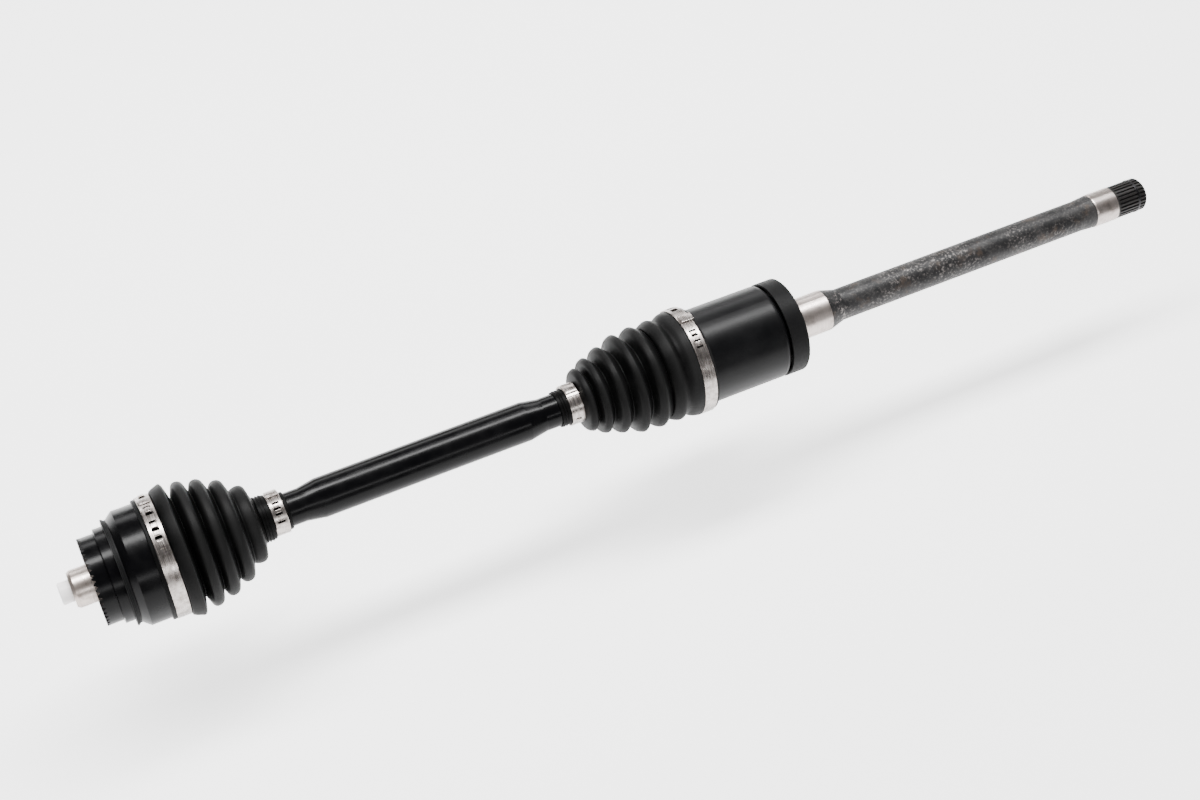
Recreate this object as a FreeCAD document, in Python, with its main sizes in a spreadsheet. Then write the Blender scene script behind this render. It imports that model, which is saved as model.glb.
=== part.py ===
"""Front drive axle: fixed ball joint, hollow shaft and plunging tripod joint on a long stub.

Frame: the axle's centre line is X, +X points to the splined stub, +Z is up, and the origin is
the middle of the straight tube. All sizes are in millimetres.
"""
import FreeCAD
import Part
import Sketcher
import math
import os
import re

SIZES = {
    # shaft
    "tube_length": 159.6,
    "tube_radius": 14.75,
    "tube_bore_radius": 10.8,
    "swage_length": 13.5,
    "neck_radius": 12.4,
    "neck_bore_radius": 5.5,
    "seat_radius": 11.5,
    "slim_length": 44.0,
    "step_taper": 4.0,
    "outer_neck_show": 10.8,
    "inner_neck_show": 11.2,
    "end_stub": 14.5,
    "end_chamfer": 1.2,
    # outer race: spigot, toothed collar and bell
    "spigot_radius": 13.6,
    "spigot_length": 16.8,
    "spigot_chamfer": 1.4,
    "spigot_lead": 2.24,
    "thread_radius": 7.2,
    "thread_depth": 15.0,
    "collar_radius": 31.6,
    "collar_length": 8.6,
    "tooth_height": 2.6,
    "tooth_width": 3.2,
    "tooth_count": 48,
    "tooth_inner_radius": 18.6,
    "relief_depth": 2.0,
    "ring_seat_radius": 34.25,
    "ring_seat_length": 11.0,
    "bell_step": 1.85,
    "shoulder_length": 5.4,
    "shoulder_drop": 1.2,
    "bell_length": 14.7,
    "boot_seat_radius": 40.0,
    "boot_seat_length": 12.8,
    "rim_reach": 18.0,
    "mouth_radius": 35.8,
    "mouth_depth": 14.0,
    # ball joint
    "ball_radius": 8.25,
    "ball_pitch_radius": 25.5,
    "track_clearance": 1.15,
    "track_sweep": 104.0,
    "cage_radius": 28.2,
    "cage_bore_radius": 22.2,
    "cage_edge": 3.15,
    "window_side": 1.9,
    "window_clearance": 0.1,
    "sphere_clearance": 0.3,
    "race_half_width": 10.5,
    # circlips
    "clip_width": 1.7,
    "clip_depth": 1.1,
    "clip_stand": 1.1,
    "clip_angle": 325.0,
    # dust ring and plug
    "ring_width": 3.3,
    "ring_flare": 4.35,
    "ring_groove": 0.6,
    "ring_lip": 1.15,
    "ring_slope": 0.3,
    "ring_land": 0.5,
    "plug_flange": 0.65,
    "plug_stand": 8.2,
    "plug_fit": 0.2,
    "plug_stem_length": 12.0,
    "plug_socket_radius": 4.6,
    "plug_socket_depth": 4.9,
    # small breaks, and how far a cutting shape stands out of what it cuts
    "edge_break": 0.8,
    "cut_margin": 0.5,
    # boots and clamps
    "boot_wall": 2.6,
    "boot_gap": 0.3,
    "boot_crest": 2.6,
    "lip_rise": 0.5,
    "lip_fall": 0.9,
    "seat_lead": 1.0,
    "band_width": 10.0,
    "band_thickness": 0.9,
    "ear_length": 12.6,
    "ear_inset": 1.2,
    "ear_height": 2.2,
    "outer_lip": 2.8,
    "outer_seat_wall": 3.0,
    "outer_first_crest": 19.6,
    "outer_pitch": 13.0,
    "outer_neck_start": 79.0,
    "outer_neck_wall": 4.0,
    "outer_band_start": 86.3,
    "outer_end": 99.2,
    "small_wall": 2.1,
    "inner_neck_wall": 1.9,
    "inner_neck_step": 1.6,
    "inner_first_crest": 21.9,
    "inner_cuff_wall": 4.2,
    "inner_cuff_ramp": 2.6,
    "inner_cuff_fall": 6.0,
    "inner_ramp_wall": 1.8,
    "inner_seat_wall": 3.25,
    "inner_lip": 2.0,
    "inner_band_start": 7.3,
    "inner_cuff_start": 99.0,
    "inner_clamp_start": 103.5,
    "inner_fold_depth": 7.0,
    # tripod
    "hub_radius": 15.5,
    "hub_half_width": 9.0,
    "trunnion_radius": 7.5,
    "trunnion_end": 2.0,
    "trunnion_root": 1.5,
    "trunnion_relief": 0.2,
    "trunnion_chamfer": 0.3,
    "needle_radius": 1.0,
    "needle_spacing": 0.05,
    "needle_end_gap": 0.5,
    "roller_radius": 13.5,
    "roller_half_width": 4.5,
    "hub_gap": 0.5,
    "roller_bore_clearance": 0.1,
    "roller_corner": 1.6,
    "roller_shoulder": 2.2,
    "roller_clip_gap": 0.4,
    "roller_clip_width": 0.9,
    "roller_clip_stand": 1.6,
    "roller_clip_depth": 0.7,
    "roller_clip_play": 0.1,
    # housing and stub shaft
    "housing_radius": 36.5,
    "housing_depth": 74.3,
    "housing_base": 3.7,
    "housing_corner": 4.0,
    "housing_rim_reach": 41.0,
    "rim_to_band": 1.8,
    "land_radius": 22.3,
    "lane_clearance": 0.8,
    "lane_headroom": 4.2,
    "lane_mouth_radius": 29.0,
    "lane_mouth_depth": 24.0,
    "throat_radius": 25.0,
    "throat_length": 7.8,
    "shield_width": 7.1,
    "shield_stand": 0.3,
    "shield_wall": 1.6,
    "skirt_gap": 0.6,
    "shield_seat_radius": 17.6,
    "journal_radius": 16.1,
    "journal_length": 32.3,
    "taper_length": 13.4,
    "stub_radius": 12.4,
    "stub_length": 221.5,
    "flare_length": 12.8,
    "pilot_radius": 13.6,
    "pilot_length": 19.3,
    "pilot_lead": 1.0,
    "pilot_chamfer": 0.3,
    "spline_step": 0.4,
    "spline_length": 28.8,
    "spline_chamfer": 2.2,
    "spline_teeth": 27,
    "spline_depth": 1.3,
    "spline_root_gap": 1.0,
    "spline_tip_gap": 2.0,
    "spline_runout": 2.0,
    "snap_from_end": 9.2,
    "snap_width": 1.8,
    "snap_clearance": 0.1,
    "snap_break": 0.3,
}
# radii of the folds, from the large end of the outer boot and from the small end of the inner one
OUTER_CRESTS = [49.0, 46.35, 43.35, 37.85, 28.85]
OUTER_VALLEYS = [35.5, 38.4, 33.95, 26.0]
INNER_CRESTS = [24.85, 29.7, 34.05, 38.65, 39.35, 39.45]
INNER_PITCHES = [8.9, 12.0, 14.4, 14.1, 15.8]
for number, radius in enumerate(OUTER_CRESTS, 1):
    SIZES[f"outer_crest_{number}"] = radius
for number, radius in enumerate(OUTER_VALLEYS, 1):
    SIZES[f"outer_valley_{number}"] = radius
for number, radius in enumerate(INNER_CRESTS, 1):
    SIZES[f"inner_crest_{number}"] = radius
for number, pitch in enumerate(INNER_PITCHES, 1):
    SIZES[f"inner_pitch_{number}"] = pitch

# sizes that follow from the ones above
WORKED_OUT = {
    "outer_reach": "tube_length / 2 + swage_length + outer_neck_show"
                   " + outer_end - boot_seat_length + rim_reach",
    "inner_reach": "tube_length / 2 + swage_length + inner_neck_show"
                   " + inner_clamp_start - rim_to_band + housing_rim_reach",
    "bell_radius": "boot_seat_radius + bell_step",
    "ring_radius": "ring_seat_radius + ring_flare",
    "plug_radius": "thread_radius + plug_flange",
    "plug_stem_radius": "thread_radius - plug_fit",
    "cage_half_width": "ball_radius + window_clearance + cage_edge",
    "outer_neck_radius": "neck_radius + outer_neck_wall",
    "window_width": "ball_radius * 2 + window_side",
    "inner_cuff_radius": "housing_radius + boot_gap + inner_cuff_wall",
    "trunnion_reach": "hub_radius + hub_gap + roller_half_width * 2 + trunnion_end",
    "needle_count": "floor(2 * pi * (trunnion_radius + needle_radius)"
                    " / (needle_radius * 2 + needle_spacing))",
    "roller_pitch_radius": "hub_radius + hub_gap + roller_half_width",
    "lane_half_width": "roller_radius + lane_clearance",
    "lane_roof": "hub_radius + hub_gap + roller_half_width * 2 + lane_headroom",
    "shield_radius": "housing_radius + shield_stand",
    "spline_radius": "pilot_radius - spline_step",
    "snap_radius": "pilot_radius - snap_clearance",
}

BALLS = 6
ARMS = 3

doc = FreeCAD.newDocument("drive_axle")
sheet = doc.addObject("Spreadsheet::Sheet", "Sizes")
for row, (alias, number) in enumerate(SIZES.items(), 1):
    sheet.set(f"A{row}", alias)
    sheet.set(f"B{row}", str(number))
    sheet.setAlias(f"B{row}", alias)
doc.recompute()

nodes = []


def bound(text):
    """The expression with each size's name pointed at its cell."""
    for name, meaning in WORKED_OUT.items():
        text = re.sub(rf"\b{name}\b", f"({meaning})", text)
    return re.sub(r"\b(?!pi\b)[a-z]\w*\b(?!\()", r"Sizes.\g<0>", text)


def value(text):
    """What an expression of sizes comes to now."""
    return float(sheet.evalExpression(bound(text)))


def new_body(label, at="0", turn=0.0):
    """A body whose local origin lies at the station `at`, turned about the axle's line."""
    body = doc.addObject("PartDesign::Body", label)
    body.Label = label
    body.AllowCompound = True
    body.Placement = FreeCAD.Placement(
        FreeCAD.Vector(value(at), 0, 0), FreeCAD.Rotation(FreeCAD.Vector(1, 0, 0), turn)
    )
    body.setExpression("Placement.Base.x", bound(at))
    nodes.append(body)
    return body


def origin(body, role):
    """The body's own origin plane or axis."""
    return next(item for item in body.Origin.OriginFeatures if item.Role == role)


def new_sketch(body, name, role, along="0", lift="0"):
    """A sketch on an origin plane, shifted along its own first axis and lifted off the plane."""
    sketch = body.newObject("Sketcher::SketchObject", name)
    sketch.AttachmentSupport = (origin(body, role), [""])
    sketch.MapMode = "FlatFace"
    sketch.AttachmentOffset = FreeCAD.Placement(
        FreeCAD.Vector(value(along), 0, value(lift)), FreeCAD.Rotation()
    )
    sketch.setExpression("AttachmentOffset.Base.x", bound(along))
    sketch.setExpression("AttachmentOffset.Base.z", bound(lift))
    return sketch


def hold(sketch, kind, curve, point, text):
    """Hold a point's distance from the sketch's origin to an expression of sizes."""
    axis = {"DistanceX": -2, "DistanceY": -1}[kind]
    if text == "0":
        sketch.addConstraint(Sketcher.Constraint("PointOnObject", curve, point, axis))
        return
    index = sketch.addConstraint(
        Sketcher.Constraint(kind, -1, 1, curve, point, value(text))
    )
    sketch.setExpression(f"Constraints[{index}]", bound(text))


def outline(sketch, corners):
    """A closed outline of straight lines through corners given as pairs of expressions."""
    points = [FreeCAD.Vector(value(x), value(y), 0) for x, y in corners]
    count = len(points)
    for index in range(count):
        segment = Part.LineSegment(points[index], points[(index + 1) % count])
        sketch.addGeometry(segment, False)
    for index in range(count):
        sketch.addConstraint(
            Sketcher.Constraint("Coincident", index, 2, (index + 1) % count, 1)
        )
    for index, (x, y) in enumerate(corners):
        hold(sketch, "DistanceX", index, 1, x)
        hold(sketch, "DistanceY", index, 1, y)


def round_outline(sketch, x, y, radius):
    """A circle whose centre and radius are expressions."""
    centre = FreeCAD.Vector(value(x), value(y), 0)
    sketch.addGeometry(Part.Circle(centre, FreeCAD.Vector(0, 0, 1), value(radius)), False)
    hold(sketch, "DistanceX", 0, 3, x)
    hold(sketch, "DistanceY", 0, 3, y)
    index = sketch.addConstraint(Sketcher.Constraint("Radius", 0, value(radius)))
    sketch.setExpression(f"Constraints[{index}]", bound(radius))


def half_disc(sketch, centre, radius):
    """A half disc standing on the first axis, which spins into a ball."""
    middle = FreeCAD.Vector(value(centre), 0, 0)
    size = value(radius)
    circle = Part.Circle(middle, FreeCAD.Vector(0, 0, 1), size)
    sketch.addGeometry(Part.ArcOfCircle(circle, 0, math.pi), False)
    left = middle - FreeCAD.Vector(size, 0, 0)
    right = middle + FreeCAD.Vector(size, 0, 0)
    sketch.addGeometry(Part.LineSegment(left, right), False)
    sketch.addConstraint(Sketcher.Constraint("Coincident", 0, 2, 1, 1))
    sketch.addConstraint(Sketcher.Constraint("Coincident", 0, 1, 1, 2))
    sketch.addConstraint(Sketcher.Constraint("PointOnObject", 0, 1, -1))
    sketch.addConstraint(Sketcher.Constraint("PointOnObject", 0, 2, -1))
    hold(sketch, "DistanceX", 0, 3, centre)
    sketch.addConstraint(Sketcher.Constraint("PointOnObject", 0, 3, -1))
    index = sketch.addConstraint(Sketcher.Constraint("Radius", 0, size))
    sketch.setExpression(f"Constraints[{index}]", bound(radius))


def spun(body, kind, name, sketch, axis="H_Axis", angle="360"):
    """Spin a sketch about one of its own axes, as added or removed material."""
    feature = body.newObject(f"PartDesign::{kind}", name)
    feature.Profile = sketch
    feature.ReferenceAxis = (sketch, [axis])
    feature.Midplane = angle != "360"
    feature.setExpression("Angle", bound(angle))
    sketch.Visibility = False
    return feature


def turned(label, at, corners, angle="360"):
    """A piece turned about the axle's line from its outline of stations and radii."""
    body = new_body(label, at)
    sketch = new_sketch(body, f"{label}_outline", "XZ_Plane")
    outline(sketch, corners)
    spun(body, "Revolution", f"{label}_turned", sketch, angle=angle)
    return body


def ringed(body, feature, name, count, role="X_Axis"):
    """Repeat a feature around one of the body's axes."""
    pattern = body.newObject("PartDesign::PolarPattern", name)
    pattern.Originals = [feature]
    pattern.Axis = (origin(body, role), [""])
    pattern.Angle = 360
    pattern.setExpression("Occurrences", bound(count))
    body.Tip = pattern
    return pattern


def pocketed(body, name, sketch, depth, reverse=False):
    """Cut a sketch into the body to a depth."""
    pocket = body.newObject("PartDesign::Pocket", name)
    pocket.Profile = sketch
    pocket.setExpression("Length", bound(depth))
    pocket.Reversed = reverse
    sketch.Visibility = False
    return pocket


# ---------------------------------------------------------------- shaft
def make_shaft():
    """Hollow shaft swaged down to a neck at each end, with a slim seat for each joint."""
    half_tube = "tube_length / 2"
    left = "(outer_reach + end_stub)"
    right = "(inner_reach + end_stub)"
    slim_left = "(end_stub + slim_length)"
    slim_right = f"({left} + inner_reach - slim_length)"
    clip_left = "(end_stub - race_half_width - clip_width)"
    clip_right = f"({left} + inner_reach + hub_half_width)"
    outer = [
        ("0", "seat_radius - end_chamfer"),
        ("end_chamfer", "seat_radius"),
        (clip_left, "seat_radius"),
        (clip_left, "seat_radius - clip_depth"),
        (f"{clip_left} + clip_width", "seat_radius - clip_depth"),
        (f"{clip_left} + clip_width", "seat_radius"),
        (slim_left, "seat_radius"),
        (f"{slim_left} + step_taper", "neck_radius"),
        (f"{left} - {half_tube} - swage_length", "neck_radius"),
        (f"{left} - {half_tube}", "tube_radius"),
        (f"{left} + {half_tube}", "tube_radius"),
        (f"{left} + {half_tube} + swage_length", "neck_radius"),
        (f"{slim_right} - step_taper", "neck_radius"),
        (slim_right, "seat_radius"),
        (clip_right, "seat_radius"),
        (clip_right, "seat_radius - clip_depth"),
        (f"{clip_right} + clip_width", "seat_radius - clip_depth"),
        (f"{clip_right} + clip_width", "seat_radius"),
        (f"{left} + {right} - end_chamfer", "seat_radius"),
        (f"{left} + {right}", "seat_radius - end_chamfer"),
    ]
    bore = [
        (f"{left} + {right}", "neck_bore_radius"),
        (f"{left} + {half_tube} + swage_length", "neck_bore_radius"),
        (f"{left} + {half_tube}", "tube_bore_radius"),
        (f"{left} - {half_tube}", "tube_bore_radius"),
        (f"{left} - {half_tube} - swage_length", "neck_bore_radius"),
        ("0", "neck_bore_radius"),
    ]
    turned("shaft", f"0 - {left}", outer + bore)


# ---------------------------------------------------------------- outer joint
COLLAR_END = "(spigot_length + collar_length)"
RING_END = f"({COLLAR_END} + ring_seat_length)"
BELL_START = f"({RING_END} + shoulder_length)"
BELL_END = f"({BELL_START} + bell_length)"
RIM = f"({BELL_END} + boot_seat_length)"
TIP = f"0 - outer_reach + rim_reach - {RIM}"
CAVITY_RADIUS = "cage_radius + sphere_clearance"
HOUSING_RIM = "inner_reach - housing_rim_reach"
INNER_LEAD = f"{HOUSING_RIM} + rim_to_band - inner_clamp_start"


def make_outer_race():
    """Forged bell with its spigot and face-toothed collar, and six ball tracks inside."""
    tooth_tip = "(spigot_length - tooth_height)"
    body = turned("outer_race", TIP, [
        ("0", "0"),
        ("0", "spigot_radius - spigot_chamfer"),
        ("spigot_lead", "spigot_radius"),
        ("spigot_length + relief_depth", "spigot_radius"),
        ("spigot_length + relief_depth", "tooth_inner_radius"),
        (tooth_tip, "tooth_inner_radius"),
        (tooth_tip, "collar_radius"),
        (COLLAR_END, "collar_radius"),
        (f"{COLLAR_END} + edge_break", "ring_seat_radius"),
        (RING_END, "ring_seat_radius"),
        (RING_END, "ring_radius - shoulder_drop"),
        (BELL_START, "bell_radius"),
        (BELL_END, "bell_radius"),
        (BELL_END, "boot_seat_radius"),
        (f"{RIM} - end_chamfer", "boot_seat_radius"),
        (RIM, "boot_seat_radius - end_chamfer"),
        (RIM, "0"),
    ])
    centre = f"({RIM} - rim_reach)"
    cavity = new_sketch(body, "cavity_outline", "XZ_Plane")
    half_disc(cavity, centre, CAVITY_RADIUS)
    spun(body, "Groove", "cavity", cavity)
    mouth = new_sketch(body, "mouth_outline", "XZ_Plane")
    outline(mouth, [
        (f"{RIM} - mouth_depth", "0"),
        (f"{RIM} - mouth_depth", "mouth_radius - mouth_depth"),
        (RIM, "mouth_radius"),
        (RIM, "0"),
    ])
    spun(body, "Groove", "mouth", mouth)
    thread = new_sketch(body, "thread_outline", "XZ_Plane")
    outline(thread, [
        ("0", "0"),
        ("0", "thread_radius"),
        ("thread_depth", "thread_radius"),
        ("thread_depth + thread_radius / 2", "0"),
    ])
    spun(body, "Groove", "thread_bore", thread)
    track = new_sketch(body, "track_outline", "YZ_Plane", lift=centre)
    round_outline(track, "0", "ball_pitch_radius", "ball_radius + track_clearance")
    groove = spun(body, "Groove", "track", track, angle="track_sweep")
    ringed(body, groove, "tracks", str(BALLS))
    notch = new_sketch(body, "notch_outline", "XY_Plane",
                       lift="tooth_inner_radius - cut_margin")
    points = [
        (tooth_tip, "0 - tooth_width / 2"),
        (tooth_tip, "tooth_width / 2"),
        ("spigot_length", "0"),
    ]
    notch_shape(notch, points)
    cut = pocketed(body, "notch", notch, "collar_radius", reverse=True)
    ringed(body, cut, "notches", "tooth_count")


def notch_shape(sketch, points):
    """A V standing open at the left, its apex on the first axis."""
    left, right, apex = [FreeCAD.Vector(value(x), value(y), 0) for x, y in points]
    sketch.addGeometry(Part.LineSegment(left, right), False)
    sketch.addGeometry(Part.LineSegment(right, apex), False)
    sketch.addGeometry(Part.LineSegment(apex, left), False)
    for index in range(3):
        sketch.addConstraint(Sketcher.Constraint("Coincident", index, 2, (index + 1) % 3, 1))
    hold(sketch, "DistanceX", 0, 2, points[1][0])
    hold(sketch, "DistanceX", 1, 2, points[2][0])
    sketch.addConstraint(Sketcher.Constraint("PointOnObject", 1, 2, -1))
    sketch.addConstraint(Sketcher.Constraint("Symmetric", 0, 1, 0, 2, -1))
    hold(sketch, "DistanceY", 0, 2, points[1][1])


def make_dust_ring():
    """Pressed ring on the collar, with a flared lip and two fine grooves."""
    at = f"{TIP} + {RING_END} - ring_width"
    turned("dust_ring", at, [
        ("0", "ring_seat_radius"),
        ("0", "ring_radius"),
        ("ring_lip", "ring_radius"),
        ("ring_lip + ring_slope", "ring_radius - ring_groove"),
        ("ring_lip + ring_slope + ring_land", "ring_radius - ring_groove"),
        ("ring_lip + ring_slope * 2 + ring_land", "ring_radius - ring_groove * 2"),
        ("ring_width", "ring_radius - ring_groove * 2"),
        ("ring_width", "ring_seat_radius"),
    ])


def make_thread_plug():
    """Moulded plug that keeps dirt out of the thread, with a shallow socket in its end."""
    turned("thread_plug", f"{TIP} - plug_stand", [
        ("plug_socket_depth", "0"),
        ("plug_socket_depth", "plug_socket_radius"),
        ("0", "plug_socket_radius"),
        ("0", "plug_radius - edge_break"),
        ("edge_break", "plug_radius"),
        ("plug_stand", "plug_radius"),
        ("plug_stand", "plug_stem_radius"),
        ("plug_stand + plug_stem_length", "plug_stem_radius"),
        ("plug_stand + plug_stem_length", "0"),
    ])


def make_inner_race():
    """Ball-shaped inner race on the shaft's seat, with six tracks."""
    body = new_body("inner_race", "0 - outer_reach - race_half_width")
    ball = new_sketch(body, "race_outline", "XZ_Plane")
    half_disc(ball, "race_half_width", "cage_bore_radius - sphere_clearance")
    spun(body, "Revolution", "race_ball", ball)
    ends = new_sketch(body, "race_ends", "XZ_Plane")
    beyond = "race_half_width + cage_bore_radius"
    outline(ends, [
        ("race_half_width * 2", "0"),
        ("race_half_width * 2", "cage_bore_radius"),
        (beyond, "cage_bore_radius"),
        (beyond, "0"),
    ])
    right = spun(body, "Groove", "right_face", ends)
    mirror = body.newObject("PartDesign::Mirrored", "left_face")
    mirror.Originals = [right]
    middle = new_sketch(body, "middle_plane", "YZ_Plane", lift="race_half_width")
    mirror.MirrorPlane = (middle, [""])
    body.Tip = mirror
    bore = new_sketch(body, "race_bore", "XZ_Plane")
    outline(bore, [
        ("0", "0"),
        ("0", "seat_radius"),
        ("race_half_width * 2", "seat_radius"),
        ("race_half_width * 2", "0"),
    ])
    spun(body, "Groove", "bore", bore)
    track = new_sketch(body, "track_outline", "YZ_Plane", lift="race_half_width")
    round_outline(track, "0", "ball_pitch_radius", "ball_radius + track_clearance")
    groove = spun(body, "Groove", "track", track, angle="track_sweep")
    ringed(body, groove, "tracks", str(BALLS))


def primitive(kind, name, sizes, at="0"):
    """A Part primitive with each size bound to an expression."""
    item = doc.addObject(f"Part::{kind}", name)
    for key, text in sizes.items():
        item.setExpression(key, bound(text))
    item.setExpression("Placement.Base.x", bound(at))
    return item


def finish_node(item, label):
    """Name a sub-part and add it to the list of nodes."""
    item.Label = label
    nodes.append(item)


def make_ball_cage():
    """Spherical cage with six windows."""
    centre = "0 - outer_reach"
    shell = doc.addObject("Part::Cut", "cage_shell")
    shell.Base = primitive("Sphere", "cage_outside", {"Radius": "cage_radius"}, centre)
    shell.Tool = primitive("Sphere", "cage_inside", {"Radius": "cage_bore_radius"}, centre)
    slab = primitive(
        "Cylinder", "cage_slab",
        {"Radius": "cage_radius", "Height": "cage_half_width * 2"},
        f"{centre} - cage_half_width",
    )
    slab.Placement.Rotation = FreeCAD.Rotation(FreeCAD.Vector(0, 1, 0), 90)
    sliced = doc.addObject("Part::Common", "cage_sliced")
    sliced.Base = shell
    sliced.Tool = slab
    windows = []
    for number in range(BALLS):
        turn = FreeCAD.Rotation(FreeCAD.Vector(1, 0, 0), number * 360 / BALLS)
        height = "(ball_radius + window_clearance) * 2"
        window = primitive(
            "Box", f"window_{number + 1}",
            {"Length": height, "Width": "window_width", "Height": "cage_radius + cut_margin"},
            f"{centre} - ball_radius - window_clearance",
        )
        sideways = turn.multVec(FreeCAD.Vector(0, -value("window_width") / 2, 0))
        window.Placement.Rotation = turn
        window.Placement.Base.y = sideways.y
        window.Placement.Base.z = sideways.z
        cosine = f"cos({number * 360 / BALLS})"
        sine = f"sin({number * 360 / BALLS})"
        window.setExpression("Placement.Base.y", bound(f"0 - {cosine} * window_width / 2"))
        window.setExpression("Placement.Base.z", bound(f"0 - {sine} * window_width / 2"))
        windows.append(window)
    openings = doc.addObject("Part::MultiFuse", "cage_windows")
    openings.Shapes = windows
    cage = doc.addObject("Part::Cut", "ball_cage")
    cage.Base = sliced
    cage.Tool = openings
    finish_node(cage, "ball_cage")


def make_balls():
    """Six balls, one in each window."""
    for number in range(BALLS):
        ball = primitive("Sphere", f"ball_{number + 1}", {"Radius": "ball_radius"},
                         "0 - outer_reach")
        angle = 90 + number * 360 / BALLS
        ball.setExpression("Placement.Base.y", bound(f"ball_pitch_radius * cos({angle})"))
        ball.setExpression("Placement.Base.z", bound(f"ball_pitch_radius * sin({angle})"))
        finish_node(ball, f"ball_{number + 1}")


def make_clip(label, at):
    """Open spring ring that sits in a groove of the shaft."""
    turned(label, at, [
        ("0", "seat_radius - clip_depth"),
        ("0", "seat_radius + clip_stand"),
        ("clip_width", "seat_radius + clip_stand"),
        ("clip_width", "seat_radius - clip_depth"),
    ], angle="clip_angle")


# ---------------------------------------------------------------- boots and clamps
def make_boot(label, at, outside, inside):
    """Closed bellows: its outside from left to right, then its inside back again."""
    turned(label, at, outside + inside[::-1])


def fold_corners(crests, valleys, stations):
    """Corners of the folds: each crest is a short flat, each valley one corner."""
    corners = []
    for number, (crest, station) in enumerate(zip(crests, stations)):
        corners.append((f"{station} - boot_crest / 2", crest))
        corners.append((f"{station} + boot_crest / 2", crest))
        if number < len(valleys):
            corners.append(valleys[number])
    return corners


def thinned(corners):
    """The same corners one wall nearer the axle's line."""
    return [(x, f"{y} - boot_wall") for x, y in corners]


def make_outer_boot():
    """Bellows from the bell to the shaft's left neck."""
    count = len(OUTER_CRESTS)
    stations = [f"outer_first_crest + outer_pitch * {n}" for n in range(count)]
    crests = [f"outer_crest_{n + 1}" for n in range(count)]
    valleys = [
        (f"outer_first_crest + outer_pitch * {n + 0.5}", f"outer_valley_{n + 1}")
        for n in range(count - 1)
    ]
    folds = fold_corners(crests, valleys, stations)
    seat = "boot_seat_radius + boot_gap"
    outside = [
        ("0", f"{seat} + outer_seat_wall - lip_fall"),
        ("lip_fall", f"{seat} + outer_seat_wall + lip_rise"),
        ("outer_lip", f"{seat} + outer_seat_wall + lip_rise"),
        ("outer_lip", f"{seat} + outer_seat_wall - boot_gap"),
        ("boot_seat_length", f"{seat} + outer_seat_wall - boot_gap"),
        *folds,
        ("outer_neck_start", "outer_neck_radius"),
        ("outer_band_start - boot_gap", "outer_neck_radius"),
        ("outer_band_start - boot_gap", "neck_radius + small_wall"),
        ("outer_band_start + band_width", "neck_radius + small_wall"),
        ("outer_end", "neck_radius + small_wall - lip_fall"),
    ]
    inside = [
        ("0", seat),
        ("boot_seat_length + seat_lead", seat),
        *thinned(folds),
        ("outer_neck_start - seat_lead", "outer_neck_radius - boot_wall"),
        ("outer_band_start - seat_lead * 2", "neck_radius"),
        ("outer_end", "neck_radius"),
    ]
    make_boot("outer_boot", f"{TIP} + {BELL_END}", outside, inside)


def make_inner_boot():
    """Bellows from the shaft's right neck to the tripod housing."""
    count = len(INNER_CRESTS)
    stations = []
    station = "inner_first_crest"
    for number in range(count):
        stations.append(station)
        station = f"{station} + inner_pitch_{number + 1}"
    crests = [f"inner_crest_{n + 1}" for n in range(count)]
    valleys = [
        (f"{stations[n]} + inner_pitch_{n + 1} * 0.5",
         f"(inner_crest_{n + 1} + inner_crest_{n + 2}) / 2 - inner_fold_depth")
        for n in range(count - 1)
    ]
    folds = fold_corners(crests, valleys, stations)
    neck = "neck_radius + boot_gap"
    band_end = "(inner_band_start + band_width)"
    seat = "housing_radius + boot_gap"
    outside = [
        ("0", f"{neck} + inner_neck_wall - lip_fall"),
        ("inner_band_start - boot_gap", f"{neck} + inner_neck_wall - boot_gap"),
        (band_end, f"{neck} + inner_neck_wall - boot_gap"),
        (f"{band_end} + lip_rise", f"{neck} + inner_neck_wall + inner_neck_step"),
        *folds,
        ("inner_cuff_start - inner_cuff_ramp", "inner_cuff_radius - inner_cuff_fall"),
        ("inner_cuff_start", "inner_cuff_radius"),
        ("inner_clamp_start - boot_gap", "inner_cuff_radius"),
        ("inner_clamp_start - boot_gap", f"{seat} + inner_seat_wall"),
        ("inner_clamp_start + band_width", f"{seat} + inner_seat_wall"),
        ("inner_clamp_start + band_width", f"{seat} + inner_seat_wall + lip_rise"),
        ("inner_clamp_start + band_width + inner_lip", f"{seat} + inner_seat_wall - lip_fall"),
    ]
    inside = [
        ("0", neck),
        (f"{band_end} + seat_lead", neck),
        *thinned(folds),
        ("inner_cuff_start - inner_cuff_ramp",
         "inner_cuff_radius - inner_cuff_fall - inner_ramp_wall"),
        ("inner_clamp_start - rim_to_band - boot_gap", seat),
        ("inner_clamp_start + band_width + inner_lip", seat),
    ]
    make_boot("inner_boot", INNER_LEAD, outside, inside)


def make_clamp(label, at, radius):
    """Steel band clamp: a thin band with its crimped ear standing on top."""
    body = turned(label, at, [
        ("0", radius),
        ("0", f"{radius} + band_thickness"),
        ("band_width", f"{radius} + band_thickness"),
        ("band_width", radius),
    ])
    ear = new_sketch(body, f"{label}_ear", "XZ_Plane")
    outline(ear, [
        ("ear_inset", f"{radius} + band_thickness / 2"),
        ("ear_inset", f"{radius} + ear_height"),
        ("band_width - ear_inset", f"{radius} + ear_height"),
        ("band_width - ear_inset", f"{radius} + band_thickness / 2"),
    ])
    angle = f"ear_length * 180 / (pi * ({radius}))"
    spun(body, "Revolution", f"{label}_ear_turned", ear, angle=angle)


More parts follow.
